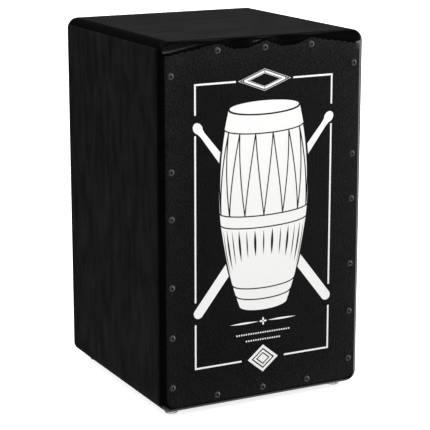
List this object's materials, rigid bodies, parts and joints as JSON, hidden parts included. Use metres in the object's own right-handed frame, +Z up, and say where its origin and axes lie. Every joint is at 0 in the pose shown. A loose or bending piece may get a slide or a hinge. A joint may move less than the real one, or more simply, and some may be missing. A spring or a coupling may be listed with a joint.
{
  "type": "cajon",
  "caption": "Box drum to sit on: thin screwed-on playing plate in front, round sound hole in the back, tunable snare strings inside, small clear feet.",
  "frame": {"origin": "middle of the outline on the surface that the feet stand on", "axes": "+Z up, the playing plate faces -Y, +X to the right of someone who looks at the plate"},
  "size_m": [0.3, 0.3021, 0.498],
  "materials": {
    "stained_top": "black stained birch plywood under satin lacquer",
    "stained_body": "black stained birch plywood, open grain, dull lacquer",
    "playing_plate": "black fine-textured paint on birch plywood, gloss on its worked edges",
    "raw_birch": "unfinished planed birch",
    "black_screws": "black zinc plated steel",
    "clear_foot": "clear polyurethane",
    "zinc_steel": "bright zinc plated steel",
    "string_steel": "drawn music wire",
    "bright_brass": "turned brass",
    "white_nylon": "turned nylon",
    "black_oxide": "black oxide steel"
  },
  "bodies": {
    "body_shell": {"top_panel": "stained_top", "bottom_panel": "stained_body", "left_side_panel": "stained_body", "right_side_panel": "stained_body", "back_panel": "stained_body", "front_plate": "playing_plate", "front_lining_top": "raw_birch", "front_lining_bottom": "raw_birch", "front_lining_left": "raw_birch", "front_lining_right": "raw_birch", "corner_batten_top_left": "raw_birch", "corner_batten_top_right": "raw_birch", "corner_batten_bottom_left": "raw_birch", "corner_batten_bottom_right": "raw_birch", "front_plate_screws_top": "black_screws", "front_plate_screws_bottom": "black_screws", "front_plate_screws_left": "black_screws", "front_plate_screws_right": "black_screws", "foot_front_left": "clear_foot", "foot_front_right": "clear_foot", "foot_back_left": "clear_foot", "foot_back_right": "clear_foot", "foot_screws": "zinc_steel", "foot_washers": "zinc_steel", "string_anchor_bar": "raw_birch", "anchor_bar_screws": "zinc_steel", "snare_string_1": "string_steel", "snare_string_2": "string_steel", "snare_string_3": "string_steel", "snare_string_4": "string_steel", "string_ferrules": "bright_brass", "tuner_bracket_left": "zinc_steel", "tuner_bracket_right": "zinc_steel", "tuner_bracket_screws": "zinc_steel"},
    "tuner_left": {"tuning_screw_left": "zinc_steel", "thrust_washer_left": "white_nylon", "retaining_collar_left": "black_oxide"},
    "tuner_right": {"tuning_screw_right": "zinc_steel", "thrust_washer_right": "white_nylon", "retaining_collar_right": "black_oxide"},
    "carriage_left": {"string_carriage_left": "zinc_steel", "string_balls_left": "bright_brass"},
    "carriage_right": {"string_carriage_right": "zinc_steel", "string_balls_right": "bright_brass"}
  },
  "joints": [
    {"name": "tuner_left_turn", "type": "hinge", "parent": "body_shell", "child": "tuner_left", "pos_m": [-0.038, -0.1239, 0.04], "axis": [0, 0, 1], "range_deg": [-1080, 1080]},
    {"name": "tuner_right_turn", "type": "hinge", "parent": "body_shell", "child": "tuner_right", "pos_m": [0.038, -0.1239, 0.04], "axis": [0, 0, 1], "range_deg": [-1080, 1080]},
    {"name": "carriage_left_slide", "type": "slide", "parent": "body_shell", "child": "carriage_left", "axis": [0, 0, 1], "range_m": [-0.003, 0.003], "deforming": ["snare_string_1", "snare_string_2"]},
    {"name": "carriage_right_slide", "type": "slide", "parent": "body_shell", "child": "carriage_right", "axis": [0, 0, 1], "range_m": [-0.003, 0.003], "deforming": ["snare_string_3", "snare_string_4"]}
  ],
  "couplings": [
    {"joint": "tuner_left_turn", "follows": "carriage_left_slide", "rad_per_m": -6283.1},
    {"joint": "tuner_right_turn", "follows": "carriage_right_slide", "rad_per_m": -6283.1}
  ]
}
